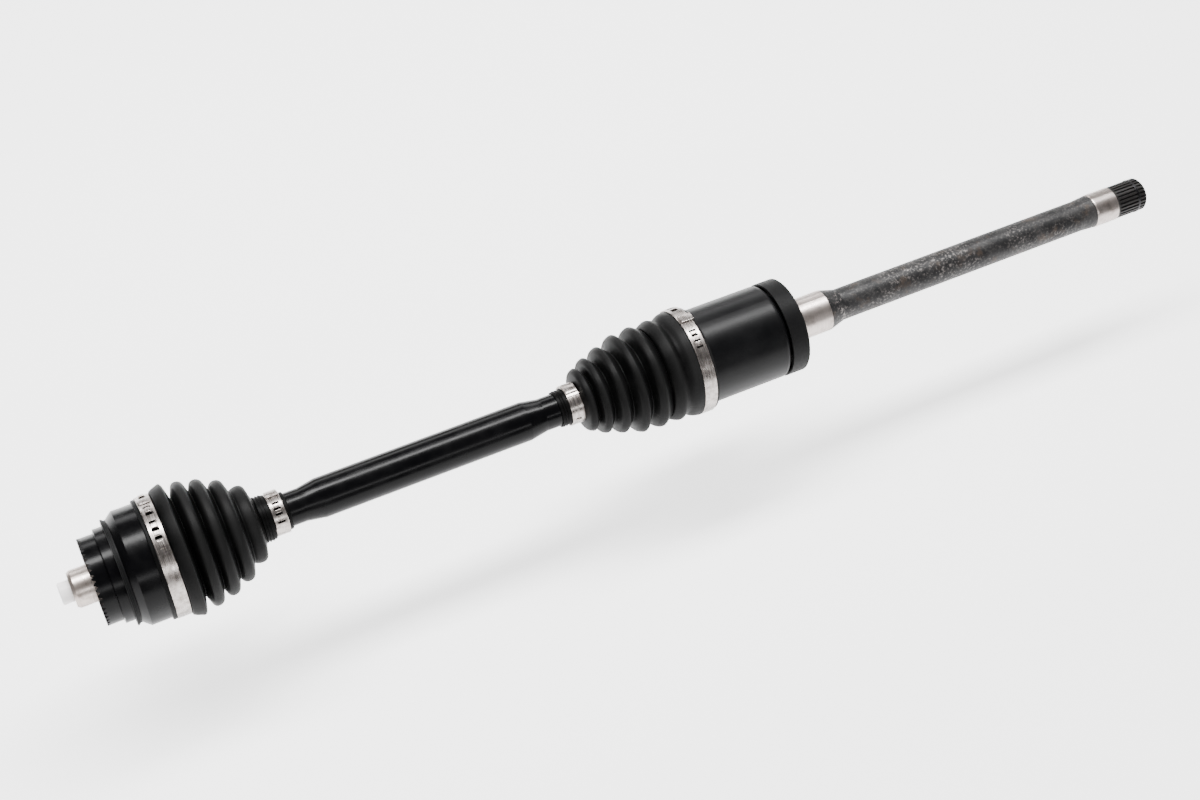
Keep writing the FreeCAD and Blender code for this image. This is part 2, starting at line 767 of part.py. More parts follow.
# ---------------------------------------------------------------- inner joint
def make_spider():
    """Tripod hub with three trunnions."""
    body = turned("spider", "inner_reach - hub_half_width", [
        ("0", "seat_radius"),
        ("0", "hub_radius - end_chamfer"),
        ("end_chamfer", "hub_radius"),
        ("hub_half_width * 2 - end_chamfer", "hub_radius"),
        ("hub_half_width * 2", "hub_radius - end_chamfer"),
        ("hub_half_width * 2", "seat_radius"),
    ])
    arm = new_sketch(body, "trunnion_outline", "XZ_Plane", along="hub_half_width")
    clip = "(roller_pitch_radius + roller_half_width + roller_clip_gap)"
    clip_end = f"{clip} + roller_clip_width + roller_clip_play"
    tip = "trunnion_radius - trunnion_relief"
    outline(arm, [
        ("0", "seat_radius + trunnion_root"),
        ("trunnion_radius", "seat_radius + trunnion_root"),
        ("trunnion_radius", clip),
        ("trunnion_radius - roller_clip_depth", clip),
        ("trunnion_radius - roller_clip_depth", clip_end),
        (tip, clip_end),
        (tip, "trunnion_reach - trunnion_chamfer"),
        (f"{tip} - trunnion_chamfer", "trunnion_reach"),
        ("0", "trunnion_reach"),
    ])
    trunnion = spun(body, "Revolution", "trunnion", arm, axis="V_Axis")
    ringed(body, trunnion, "trunnions", str(ARMS))


def spun_on_arm(label, number, corners, angle="360"):
    """A ring turned about the trunnion of one arm."""
    body = new_body(label, "inner_reach", turn=number * 360 / ARMS)
    sketch = new_sketch(body, f"{label}_outline", "XZ_Plane")
    outline(sketch, corners)
    spun(body, "Revolution", f"{label}_turned", sketch, axis="V_Axis", angle=angle)
    return body


def make_arm(number):
    """Roller, its needles and its retaining ring on one trunnion."""
    bottom = "(roller_pitch_radius - roller_half_width)"
    top = "(roller_pitch_radius + roller_half_width)"
    bore = "trunnion_radius + needle_radius * 2 + roller_bore_clearance"
    spun_on_arm(f"roller_{number + 1}", number, [
        (bore, bottom),
        ("roller_radius - roller_corner", bottom),
        ("roller_radius", f"{bottom} + roller_shoulder"),
        ("roller_radius", f"{top} - roller_shoulder"),
        ("roller_radius - roller_corner", top),
        (bore, top),
    ])
    needles = new_body(f"needle_set_{number + 1}", "inner_reach", turn=number * 360 / ARMS)
    sketch = new_sketch(needles, "needle_outline", "XY_Plane",
                        lift=f"{bottom} + needle_end_gap")
    round_outline(sketch, "trunnion_radius + needle_radius + roller_bore_clearance / 2", "0",
                  "needle_radius")
    needle = needles.newObject("PartDesign::Pad", "needle")
    needle.Profile = sketch
    needle.setExpression("Length", bound("(roller_half_width - needle_end_gap) * 2"))
    ringed(needles, needle, "needles", "needle_count", role="Z_Axis")
    clip = f"{top} + roller_clip_gap"
    spun_on_arm(f"roller_clip_{number + 1}", number, [
        ("trunnion_radius - roller_clip_depth", clip),
        ("trunnion_radius + roller_clip_stand", clip),
        ("trunnion_radius + roller_clip_stand", f"{clip} + roller_clip_width"),
        ("trunnion_radius - roller_clip_depth", f"{clip} + roller_clip_width"),
    ], angle="clip_angle")


ROUND_ANGLES = [0, 22.5, 45, 67.5, 90]
FLOOR = "housing_depth"
HOUSING_END = "(housing_depth + housing_base)"
THROAT_END = f"({HOUSING_END} + throat_length)"
JOURNAL_START = f"({THROAT_END} + shield_width)"
JOURNAL_END = f"({JOURNAL_START} + journal_length)"
STUB_START = f"({JOURNAL_END} + taper_length)"
STUB_END = f"({STUB_START} + stub_length)"
PILOT_START = f"({STUB_END} + flare_length)"
PILOT_END = f"({PILOT_START} + pilot_length)"
STUB_TIP = f"({PILOT_END} + spline_length)"


def quarter_round(end, radius, corner):
    """Corners of a quarter round that closes a turned piece at the station `end`."""
    return [
        (f"{end} - {corner} * (1 - sin({angle}))", f"{radius} - {corner} * (1 - cos({angle}))")
        for angle in ROUND_ANGLES
    ]


def make_tripod_housing():
    """Housing cup with three roller lanes, forged in one with its long splined stub."""
    snap = f"({STUB_TIP} - snap_from_end)"
    groove_radius = "spline_radius - spline_depth"
    body = turned("tripod_housing", HOUSING_RIM, [
        ("0", "0"),
        ("0", "housing_radius - end_chamfer"),
        ("end_chamfer", "housing_radius"),
        *quarter_round(HOUSING_END, "housing_radius", "housing_corner"),
        (HOUSING_END, "throat_radius"),
        (THROAT_END, "throat_radius"),
        (THROAT_END, "shield_seat_radius"),
        (JOURNAL_START, "shield_seat_radius"),
        (JOURNAL_START, "journal_radius"),
        (JOURNAL_END, "journal_radius"),
        (STUB_START, "stub_radius"),
        (STUB_END, "stub_radius"),
        (f"{PILOT_START} - pilot_lead", "pilot_radius - pilot_chamfer"),
        (PILOT_START, "pilot_radius"),
        (PILOT_END, "pilot_radius"),
        (f"{PILOT_END} + edge_break", "spline_radius"),
        (snap, "spline_radius"),
        (snap, groove_radius),
        (f"{snap} + snap_width", groove_radius),
        (f"{snap} + snap_width", "spline_radius"),
        (f"{STUB_TIP} - spline_chamfer", "spline_radius"),
        (STUB_TIP, "spline_radius - spline_chamfer"),
        (STUB_TIP, "0"),
    ])
    bore = new_sketch(body, "lane_bore", "XZ_Plane")
    outline(bore, [
        ("0", "0"),
        ("0", "lane_mouth_radius"),
        ("lane_mouth_depth", "land_radius"),
        (FLOOR, "land_radius"),
        (FLOOR, "0"),
    ])
    spun(body, "Groove", "bore", bore)
    lane = new_sketch(body, "lane_outline", "XY_Plane")
    lane_shape(lane)
    cut = pocketed(body, "lane", lane, "lane_roof", reverse=True)
    ringed(body, cut, "lanes", str(ARMS))
    gap = new_sketch(body, "spline_gap_outline", "YZ_Plane", lift=STUB_TIP)
    gap_shape(gap)
    tooth = pocketed(body, "spline_gap_cut", gap, "spline_length - spline_runout")
    ringed(body, tooth, "spline", "spline_teeth")


def mirrored_outline(sketch, corners):
    """Closed outline, symmetric about the first axis, from the corners of its upper side."""
    upper = [FreeCAD.Vector(value(x), value(y), 0) for x, y in corners]
    lower = [FreeCAD.Vector(point.x, -point.y, 0) for point in reversed(upper)]
    points = upper + lower
    count = len(points)
    for index in range(count):
        sketch.addGeometry(Part.LineSegment(points[index], points[(index + 1) % count]), False)
    for index in range(count):
        sketch.addConstraint(
            Sketcher.Constraint("Coincident", index, 2, (index + 1) % count, 1)
        )
    for index, (x, y) in enumerate(corners):
        hold(sketch, "DistanceX", index, 1, x)
        hold(sketch, "DistanceY", index, 1, y)
        partner = count - 1 - index
        sketch.addConstraint(Sketcher.Constraint("Symmetric", index, 1, partner, 1, -1))


def lane_shape(sketch):
    """One roller lane seen from above: open at the rim, flat at the floor."""
    mirrored_outline(sketch, [("0", "lane_half_width"), (FLOOR, "lane_half_width")])


def gap_shape(sketch):
    """The gap between two spline teeth, seen along the stub."""
    deep = "spline_radius - spline_depth"
    high = "spline_radius + cut_margin"
    points = [
        FreeCAD.Vector(-value("spline_root_gap / 2"), value(deep), 0),
        FreeCAD.Vector(value("spline_root_gap / 2"), value(deep), 0),
        FreeCAD.Vector(value("spline_tip_gap / 2"), value(high), 0),
        FreeCAD.Vector(-value("spline_tip_gap / 2"), value(high), 0),
    ]
    for index in range(4):
        sketch.addGeometry(Part.LineSegment(points[index], points[(index + 1) % 4]), False)
    for index in range(4):
        sketch.addConstraint(Sketcher.Constraint("Coincident", index, 2, (index + 1) % 4, 1))
    sketch.addConstraint(Sketcher.Constraint("Symmetric", 0, 1, 1, 1, -2))
    sketch.addConstraint(Sketcher.Constraint("Symmetric", 3, 1, 2, 1, -2))
    hold(sketch, "DistanceX", 1, 1, "spline_root_gap / 2")
    hold(sketch, "DistanceY", 1, 1, deep)
    hold(sketch, "DistanceX", 2, 1, "spline_tip_gap / 2")
    hold(sketch, "DistanceY", 2, 1, high)


def make_shield_ring():
    """Pressed steel dust shield behind the housing: hub, web and a rim that skirts its end."""
    skirt = "skirt_gap - throat_length"
    turned("shield_ring", f"{HOUSING_RIM} + {THROAT_END}", [
        ("0", "shield_seat_radius"),
        ("0", "shield_seat_radius + shield_wall"),
        ("shield_width - shield_wall * 2", "shield_seat_radius + shield_wall"),
        ("shield_width - shield_wall * 2", "shield_radius - shield_wall"),
        (skirt, "shield_radius - shield_wall"),
        (skirt, "shield_radius"),
        ("shield_width - edge_break", "shield_radius"),
        ("shield_width", "shield_radius - edge_break"),
        ("shield_width", "shield_radius - shield_wall * 2"),
        ("shield_width - shield_wall", "shield_radius - shield_wall * 3"),
        ("shield_width - shield_wall", "shield_seat_radius"),
    ])


def make_snap_ring():
    """Open spring ring near the end of the splines."""
    turned("spline_snap_ring", f"{HOUSING_RIM} + {STUB_TIP} - snap_from_end", [
        ("0", "spline_radius - spline_depth"),
        ("0", "snap_radius - snap_break"),
        ("snap_break", "snap_radius"),
        ("snap_width - snap_break", "snap_radius"),
        ("snap_width", "snap_radius - snap_break"),
        ("snap_width", "spline_radius - spline_depth"),
    ], angle="clip_angle")


make_shaft()
make_outer_race()
make_dust_ring()
make_thread_plug()
make_inner_race()
make_ball_cage()
make_balls()
make_clip("outer_circlip", "0 - outer_reach - race_half_width - clip_width")
make_clip("spider_circlip", "inner_reach + hub_half_width")
make_outer_boot()
make_inner_boot()
make_clamp("outer_boot_large_clamp", f"{TIP} + {BELL_END} + outer_lip",
           "boot_seat_radius + outer_seat_wall + boot_gap")
make_clamp("outer_boot_small_clamp", f"{TIP} + {BELL_END} + outer_band_start",
           "neck_radius + small_wall")
make_clamp("inner_boot_small_clamp", f"{INNER_LEAD} + inner_band_start",
           "neck_radius + boot_gap + inner_neck_wall")
make_clamp("inner_boot_large_clamp", f"{INNER_LEAD} + inner_clamp_start",
           "housing_radius + boot_gap * 2 + inner_seat_wall")
make_spider()
for arm_number in range(ARMS):
    make_arm(arm_number)
make_tripod_housing()
make_shield_ring()
make_snap_ring()
doc.recompute()

for item in doc.Objects:
    if "Invalid" in item.State or "Error" in item.State:
        raise RuntimeError(f"{item.Label} failed: {item.State}")
for node in nodes:
    if node.Shape.isNull() or not node.Shape.isValid():
        raise RuntimeError(f"{node.Label} has no valid shape")

os.makedirs("parts", exist_ok=True)
for node in nodes:
    node.Shape.exportStep(f"parts/{node.Label}.step")
    print(node.Label, len(node.Shape.Solids), round(node.Shape.Volume))
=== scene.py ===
"""Looks of a front drive axle: two booted joints on a painted shaft, and a long splined stub.

Lengths of pieces are in millimetres and turn to metres where a mesh is finished. The camera,
the lamps and the floor are placed in metres.
"""
import bpy
import bmesh
import math
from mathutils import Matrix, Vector


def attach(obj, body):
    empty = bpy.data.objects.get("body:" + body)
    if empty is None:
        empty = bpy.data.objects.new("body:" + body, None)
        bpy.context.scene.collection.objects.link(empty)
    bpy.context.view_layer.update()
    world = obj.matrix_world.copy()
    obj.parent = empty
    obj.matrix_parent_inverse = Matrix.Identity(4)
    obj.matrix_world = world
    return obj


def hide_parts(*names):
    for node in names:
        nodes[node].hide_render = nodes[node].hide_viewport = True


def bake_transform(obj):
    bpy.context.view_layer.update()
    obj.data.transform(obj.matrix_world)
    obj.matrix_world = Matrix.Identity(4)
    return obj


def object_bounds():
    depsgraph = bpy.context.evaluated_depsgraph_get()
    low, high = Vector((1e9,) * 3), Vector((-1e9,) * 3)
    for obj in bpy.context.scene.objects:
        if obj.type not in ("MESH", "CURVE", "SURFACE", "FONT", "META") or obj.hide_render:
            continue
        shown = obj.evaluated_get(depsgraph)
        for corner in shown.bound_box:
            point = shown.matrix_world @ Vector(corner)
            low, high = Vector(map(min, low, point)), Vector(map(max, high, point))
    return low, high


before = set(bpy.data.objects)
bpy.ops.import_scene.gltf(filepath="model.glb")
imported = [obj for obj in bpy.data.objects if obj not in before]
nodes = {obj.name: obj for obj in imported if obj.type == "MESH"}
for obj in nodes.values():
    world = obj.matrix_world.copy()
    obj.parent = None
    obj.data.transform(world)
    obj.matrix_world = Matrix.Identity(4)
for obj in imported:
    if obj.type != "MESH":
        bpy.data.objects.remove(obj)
cad_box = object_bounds()
MM = 0.001

# ------------------------------------------------------------------ camera, floor and lights
# A plain white table top under broad soft boxes. The camera looks down on the axle from the
# side of the ball joint, so that end is nearest. The axle is held by its tube, high enough over
# the table for either end to tilt down to its limit.
FLOOR_DROP = 0.08
FLOOR_HALF = 4.0
AIM = Vector((0.1407, 0.0, -0.0075))
AZIMUTH, ELEVATION, DISTANCE, LENS = math.radians(-26), math.radians(50), 1.413, 57
back = Vector((
    math.sin(AZIMUTH) * math.cos(ELEVATION),
    -math.cos(AZIMUTH) * math.cos(ELEVATION),
    math.sin(ELEVATION),
))
camera = bpy.data.objects.new("camera", bpy.data.cameras.new("camera"))
bpy.context.scene.collection.objects.link(camera)
camera.data.lens = LENS
camera.location = AIM + back * DISTANCE
camera.rotation_mode = "QUATERNION"
camera.rotation_quaternion = (-back).to_track_quat("-Z", "Y")
bpy.context.scene.camera = camera


def soft_box(name, place, aim, size, power):
    """A rectangular lamp turned towards a point."""
    lamp = bpy.data.lights.new(name, "AREA")
    lamp.shape = "RECTANGLE"
    lamp.size, lamp.size_y = size
    lamp.energy = power
    holder = bpy.data.objects.new(name, lamp)
    bpy.context.scene.collection.objects.link(holder)
    holder.location = place
    holder.rotation_mode = "QUATERNION"
    holder.rotation_quaternion = (Vector(aim) - Vector(place)).to_track_quat("-Z", "Y")


soft_box("box_above", (0.1, 0.35, 1.5), (0.1, 0, 0), (2.4, 0.3), 95)
soft_box("box_front", (-0.3, -1.7, 0.9), (0.1, 0, 0), (2.2, 0.22), 13)
soft_box("box_back", (0.3, 1.6, 0.7), (0.15, 0, 0), (2.4, 0.4), 18)

world = bpy.data.worlds.new("studio")
world.use_nodes = True
world.node_tree.nodes["Background"].inputs["Color"].default_value = (1, 1, 1, 1)
world.node_tree.nodes["Background"].inputs["Strength"].default_value = 0.16
bpy.context.scene.world = world


def linear(text):
    """An sRGB hex colour such as #b8ada8 as linear red, green, blue and alpha."""
    parts = [int(text[i:i + 2], 16) / 255 for i in (1, 3, 5)]
    return tuple(
        part / 12.92 if part <= 0.04045 else ((part + 0.055) / 1.055) ** 2.4 for part in parts
    ) + (1.0,)


def add(tree, kind, inputs=None, **settings):
    """Add one shader node: an input takes a number, a colour or another node's output."""
    made = tree.nodes.new("ShaderNode" + kind)
    for name, value in settings.items():
        setattr(made, name, value)
    for name, value in (inputs or {}).items():
        if isinstance(value, bpy.types.NodeSocket):
            tree.links.new(value, made.inputs[name])
        else:
            made.inputs[name].default_value = value
    return made


def new_material(name):
    """An empty node material and its tree, with only the output left in it."""
    material = bpy.data.materials.new(name)
    material.use_nodes = True
    tree = material.node_tree
    tree.nodes.remove(tree.nodes["Principled BSDF"])
    return material, tree


def finish_material(tree, shader):
    tree.links.new(shader.outputs[0], tree.nodes["Material Output"].inputs["Surface"])


def mix(tree, factor, low, high):
    """A colour between two hex colours or sockets, by a factor socket."""
    low = linear(low) if isinstance(low, str) else low
    high = linear(high) if isinstance(high, str) else high
    made = add(tree, "Mix", data_type="RGBA")
    for socket, value in ((0, factor), (6, low), (7, high)):
        if isinstance(value, bpy.types.NodeSocket):
            tree.links.new(value, made.inputs[socket])
        else:
            made.inputs[socket].default_value = value
    return made.outputs[2]


def noise(tree, place, size_mm, detail=4.0, roughness=0.5):
    """Noise whose blotches are about size_mm across."""
    scale = 1 / (size_mm * MM)
    return add(tree, "TexNoise", {
        "Vector": place, "Scale": scale, "Detail": detail, "Roughness": roughness,
    }).outputs["Fac"]


table_top, tree = new_material("white_laminate")
place = add(tree, "TexCoord").outputs["Object"]
finish_material(tree, add(tree, "BsdfPrincipled", {
    "Base Color": mix(tree, noise(tree, place, 300), "#dcdcdc", "#e2e2e2"),
    "Roughness": 0.75,
    "Emission Color": linear("#ffffff"),
    "Emission Strength": 2.2,
}))
sheet = bmesh.new()
bmesh.ops.create_grid(sheet, x_segments=1, y_segments=1, size=FLOOR_HALF)
bmesh.ops.translate(sheet, verts=sheet.verts, vec=(0, 0, cad_box[0].z - FLOOR_DROP))
floor_mesh = bpy.data.meshes.new("floor")
sheet.to_mesh(floor_mesh)
sheet.free()
floor = bpy.data.objects.new("floor", floor_mesh)
floor.data.materials.append(table_top)
bpy.context.scene.collection.objects.link(floor)


# ------------------------------------------------------------------ shaft
# Tubular shaft, swaged at both ends and dipped in black enamel. The enamel flows out glossy
# with a faint orange peel and a few dull, dusty patches.


def spread(tree, value, low, high, to_low=0.0, to_high=1.0):
    """Stretch a value's range from low..high to to_low..to_high, held inside it."""
    return add(tree, "MapRange", {
        "Value": value, "From Min": low, "From Max": high, "To Min": to_low, "To Max": to_high,
    }).outputs["Result"]


def bump(tree, height, depth_mm, strength):
    return add(tree, "Bump", {
        "Height": height, "Distance": depth_mm * MM, "Strength": strength,
    }).outputs["Normal"]


def dress(name, material):
    """Give a node of the frame its finish."""
    node = nodes[name]
    node.data.materials.clear()
    node.data.materials.append(material)


black_enamel, tree = new_material("black_enamel_on_steel")
place = add(tree, "TexCoord").outputs["Object"]
dust = noise(tree, place, 18, 6, 0.62)
peel = noise(tree, place, 2.2, 2)
finish_material(tree, add(tree, "BsdfPrincipled", {
    "Base Color": mix(tree, spread(tree, dust, 0.42, 0.75), "#040405", "#0b0b0c"),
    "Roughness": spread(tree, dust, 0.35, 0.75, 0.2, 0.3),
    "IOR": 1.5,
    "Specular IOR Level": 0.11,
    "Normal": bump(tree, peel, 0.008, 0.4),
}))
dress("shaft", black_enamel)

# ------------------------------------------------------------------ outer race
# Forged bell, machined collar and ground spigot in one piece. The bell and the collar are
# under the same black enamel, and the spigot is left bare and oiled.
SPIGOT_ROOT = -241.0
BARE_RADIUS = 15.5
GRINDING_MARK = 0.35


def stretched(tree, along, around):
    """Object coordinates scaled apart along X and across it, for marks that run round a bar."""
    place = add(tree, "TexCoord").outputs["Object"]
    return add(tree, "Mapping", {"Vector": place, "Scale": (along, around, around)}).outputs[0]


def dress_by_station(name, zones):
    """Give a turned node a finish for each stretch: zones are (right end in mm, material)."""
    node = nodes[name]
    node.data.materials.clear()
    for _, material in zones:
        node.data.materials.append(material)
    ends = [end * MM for end, _ in zones]
    for face in node.data.polygons:
        station = face.center.x
        face.material_index = next(
            (index for index, end in enumerate(ends) if station < end), len(ends) - 1
        )


def ground_steel(name, colour, dark):
    """Bare steel, ground between centres: fine marks that run round it."""
    material, tree = new_material(name)
    rings = add(tree, "TexNoise", {
        "Vector": stretched(tree, 1 / (GRINDING_MARK * MM), 20), "Scale": 1.0, "Detail": 3.0,
    }).outputs["Fac"]
    place = add(tree, "TexCoord").outputs["Object"]
    stain = noise(tree, place, 9, 5, 0.6)
    tone = mix(tree, spread(tree, stain, 0.5, 0.72), colour, dark)
    tone = mix(tree, spread(tree, rings, 0.3, 0.7, 0.0, 0.35), tone, dark)
    finish_material(tree, add(tree, "BsdfPrincipled", {
        "Base Color": tone,
        "Metallic": 1.0,
        "Roughness": spread(tree, rings, 0.3, 0.7, 0.26, 0.42),
        "Normal": bump(tree, rings, 0.01, 0.4),
    }))
    return material


spigot_steel = ground_steel("ground_spigot_steel", "#c3b8b1", "#8d817a")
dress_by_station("outer_race", [(SPIGOT_ROOT, spigot_steel), (0, black_enamel)])
for face in nodes["outer_race"].data.polygons:
    if math.hypot(face.center.y, face.center.z) > BARE_RADIUS * MM:
        face.material_index = 1

# ------------------------------------------------------------------ dust ring
# Pressed steel ring behind the collar, black and a little duller than the enamel.
matt_black, tree = new_material("matt_black_pressed_steel")
place = add(tree, "TexCoord").outputs["Object"]
grit = noise(tree, place, 1.2, 4, 0.6)
finish_material(tree, add(tree, "BsdfPrincipled", {
    "Base Color": mix(tree, noise(tree, place, 22, 5), "#080809", "#131313"),
    "Roughness": spread(tree, grit, 0.3, 0.7, 0.42, 0.6),
    "IOR": 1.5,
    "Specular IOR Level": 0.09,
    "Normal": bump(tree, grit, 0.03, 0.5),
}))
dress("dust_ring", matt_black)

# ------------------------------------------------------------------ thread plug
# Moulded polyethylene plug: milky, so light passes into it and it has soft edges.
milky, tree = new_material("milky_polyethylene")
place = add(tree, "TexCoord").outputs["Object"]
finish_material(tree, add(tree, "BsdfPrincipled", {
    "Base Color": mix(tree, noise(tree, place, 6), "#efe9e9", "#f8f5f4"),
    "Roughness": 0.42,
    "IOR": 1.51,
    "Subsurface Weight": 0.7,
    "Subsurface Radius": (0.004, 0.004, 0.004),
    "Subsurface Scale": 1.0,
}))
dress("thread_plug", milky)

# ------------------------------------------------------------------ parts inside the joints
# Hardened and ground bearing steel, and blued spring steel for the open rings. The open ring
# on the splines gets its finish here too.
bearing_steel = ground_steel("ground_bearing_steel", "#b9b5b0", "#8f8a84")
for name in nodes:
    if name.startswith(("ball_", "roller_", "needle_")) or name in ("inner_race", "spider"):
        dress(name, bearing_steel)
spring_steel = ground_steel("blued_spring_steel", "#3b3a3c", "#232224")
for name in ("outer_circlip", "spider_circlip", "spline_snap_ring"):
    dress(name, spring_steel)
for number in (1, 2, 3):
    dress(f"roller_clip_{number}", spring_steel)

# ------------------------------------------------------------------ boots
# Blow-moulded thermoplastic elastomer bellows: satin black and a little dusty, with a painted
# highlight that makes the crests paler, a fine grain and a mould parting line along the front and
# the back.
WALL = 1.6
AROUND = 96
ROUND_SEGMENTS = 5
SMOOTH_ANGLE = math.radians(35)
SAME_PLACE = 0.01
MERGE_DISTANCE = 0.001
# depth below a crest over which its painted highlight fades out
CREST_HIGHLIGHT_DEPTH = 3.5
PARTING_ANGLE = 98


def bellows_material(name, parting):
    """Black elastomer, with a painted highlight on its crests, and its mould's parting line.

    The line's angle is in degrees from the top, positive towards the front.
    """
    material, tree = new_material(name)
    place = add(tree, "TexCoord").outputs["Object"]
    grain = noise(tree, place, 0.6, 3)
    haze = noise(tree, place, 14, 6, 0.6)
    crest_highlight = add(tree, "Attribute", attribute_name="crest_highlight").outputs["Fac"]
    turn = math.radians(parting)
    side = add(tree, "VectorMath", {
        0: place, 1: (0, math.cos(turn), math.sin(turn)),
    }, operation="DOT_PRODUCT").outputs["Value"]
    off_line = add(tree, "Math", {0: side}, operation="ABSOLUTE").outputs[0]
    line = spread(tree, off_line, 0.15 * MM, 0.4 * MM, 1.0, 0.0)
    tone = mix(tree, spread(tree, haze, 0.35, 0.7), "#030303", "#080808")
    # painted highlight: the crests are made paler, standing for light caught on the fold tops
    tone = mix(tree, crest_highlight, tone, "#171717")
    tone = mix(tree, line, tone, "#010101")
    relief = add(tree, "Math", {0: line, 1: -6.0, 2: grain}, operation="MULTIPLY_ADD").outputs[0]
    finish_material(tree, add(tree, "BsdfPrincipled", {
        "Base Color": tone,
        "Roughness": spread(tree, haze, 0.3, 0.7, 0.40, 0.52),
        "IOR": 1.5,
        "Specular IOR Level": 0.06,
        "Normal": bump(tree, relief, 0.02, 0.5),
    }))
    return material


def turned(outline):
    """A bmesh turned about the axle's line from corners of (station, radius)."""
    shape = bmesh.new()
    corners = [shape.verts.new((x, 0, radius)) for x, radius in outline]
    edges = [shape.edges.new(pair) for pair in zip(corners, corners[1:])]
    bmesh.ops.spin(
        shape, geom=corners + edges, cent=(0, 0, 0), axis=(1, 0, 0),
        angle=math.tau, steps=AROUND, use_merge=True,
    )
    bmesh.ops.remove_doubles(shape, verts=shape.verts, dist=MERGE_DISTANCE)
    bmesh.ops.recalc_face_normals(shape, faces=shape.faces)
    return shape


def round_ring(shape, station, radius, offset):
    """Round the ring edge that passes through one corner of the outline."""
    ring = [
        edge for edge in shape.edges
        if all(
            abs(vert.co.x - station) < SAME_PLACE
            and abs(math.hypot(vert.co.y, vert.co.z) - radius) < SAME_PLACE
            for vert in edge.verts
        )
    ]
    bmesh.ops.bevel(
        shape, geom=ring, offset=offset, segments=ROUND_SEGMENTS, profile=0.5,
        affect="EDGES", material=-1,
    )


def finish_mesh(shape, name, material, body, replaced):
    """Turn a bmesh in millimetres into a shaded piece, riding on a body when one is given."""
    bmesh.ops.scale(shape, vec=(MM, MM, MM), verts=shape.verts)
    for face in shape.faces:
        face.smooth = True
    for edge in shape.edges:
        edge.smooth = len(edge.link_faces) != 2 or edge.calc_face_angle() < SMOOTH_ANGLE
    mesh = bpy.data.meshes.new(name)
    shape.to_mesh(mesh)
    shape.free()
    piece = bpy.data.objects.new(name, mesh)
    bpy.context.scene.collection.objects.link(piece)
    mesh.materials.append(material)
    if body:
        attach(piece, body)
    if replaced:
        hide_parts(replaced)
    return piece


def outward(shape):
    """Turn the faces of an open tube away from the axle's line."""
    total = 0.0
    for face in shape.faces:
        middle = face.calc_center_median()
        total += face.normal.dot(Vector((0, middle.y, middle.z)).normalized()) * face.calc_area()
    if total < 0:
        bmesh.ops.reverse_faces(shape, faces=shape.faces)


def paint_crest_highlight(piece, crests):
    """Store how near each point is to its crest, for the painted highlight on the tops."""
    crest_highlight = piece.data.attributes.new("crest_highlight", "FLOAT", "POINT")
    for index, vert in enumerate(piece.data.vertices):
        radius = math.hypot(vert.co.y, vert.co.z)
        near = min(crests, key=lambda crest: abs(crest[0] * MM - vert.co.x))
        depth = (near[1] * MM - radius) / (CREST_HIGHLIGHT_DEPTH * MM)
        crest_highlight.data[index].value = max(0.0, 1.0 - max(0.0, depth)) ** 2


def wall(piece):
    """Give a bellows its thickness, inwards."""
    shell = piece.modifiers.new("wall", "SOLIDIFY")
    shell.thickness = WALL * MM
    shell.offset = -1


# outer boot: crests and valleys as (station, radius)
OUTER_CRESTS = [(-183.4, 48.6), (-170.3, 46.2), (-157.8, 43.2), (-144.9, 37.8), (-131.9, 28.8)]
OUTER_VALLEYS = [(-177.4, 35.5), (-164.2, 36.0), (-151.2, 33.0), (-138.4, 26.6)]
CREST_HALF = 3.2
CREST_DROP = 0.7
outer_outline = [
    (-203.2, 41.6), (-203.2, 43.7), (-200.9, 43.7), (-200.7, 43.0), (-190.2, 43.0),
    (-189.6, 45.3), (-187.2, 46.6), (-181.6, 48.6), (-180.2, 46.6),
]
rounded_rings = [((-203.2, 43.7), 0.5), ((-189.6, 45.3), 0.6), ((-181.6, 48.6), 1.0)]
rounded_rings += [((-180.2, 46.6), 0.9)]
for (station, radius), valley in zip(OUTER_CRESTS[1:], OUTER_VALLEYS):
    shoulders = [(station - CREST_HALF, radius), (station + CREST_HALF, radius - CREST_DROP)]
    outer_outline += [valley, *shoulders]
    rounded_rings += [(valley, 1.2), (shoulders[0], 2.7), (shoulders[1], 2.7)]
outer_outline += [(-126.4, 18.6)]
for rib in (-124.6, -122.4, -120.2):
    outer_outline += [(rib - 0.5, 16.4), (rib - 0.35, 17.0), (rib + 0.35, 17.0), (rib + 0.5, 16.4)]
outer_outline += [
    (-117.6, 16.2), (-117.3, 14.5), (-107.3, 14.5),
    (-107.1, 14.0), (-104.3, 13.6), (-104.1, 12.6),
]
rounded_rings += [((-126.4, 18.6), 1.2), ((-104.3, 13.6), 0.4)]
shape = turned(outer_outline)
outward(shape)
for corner, offset in rounded_rings:
    round_ring(shape, *corner, offset)
elastomer = bellows_material("black_elastomer", PARTING_ANGLE)
outer_boot = finish_mesh(shape, "outer_bellows", elastomer, None, "outer_boot")
paint_crest_highlight(outer_boot, OUTER_CRESTS)
wall(outer_boot)
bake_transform(outer_boot)

# inner boot: six folds that grow towards the housing, then a cuff over the housing's rim
INNER_CRESTS = [
    (127.6, 24.8), (136.8, 29.7), (149.0, 34.0), (163.3, 38.6), (177.6, 39.6), (192.4, 39.7),
]
FOLD_DEPTH = 8.4
BROW_BACK = 4.4
BROW_DROP = 1.9
VALLEY_PLACE = 0.42
inner_valleys = [
    (a[0] + (b[0] - a[0]) * VALLEY_PLACE, (a[1] + b[1]) / 2 - FOLD_DEPTH)
    for a, b in zip(INNER_CRESTS, INNER_CRESTS[1:])
]
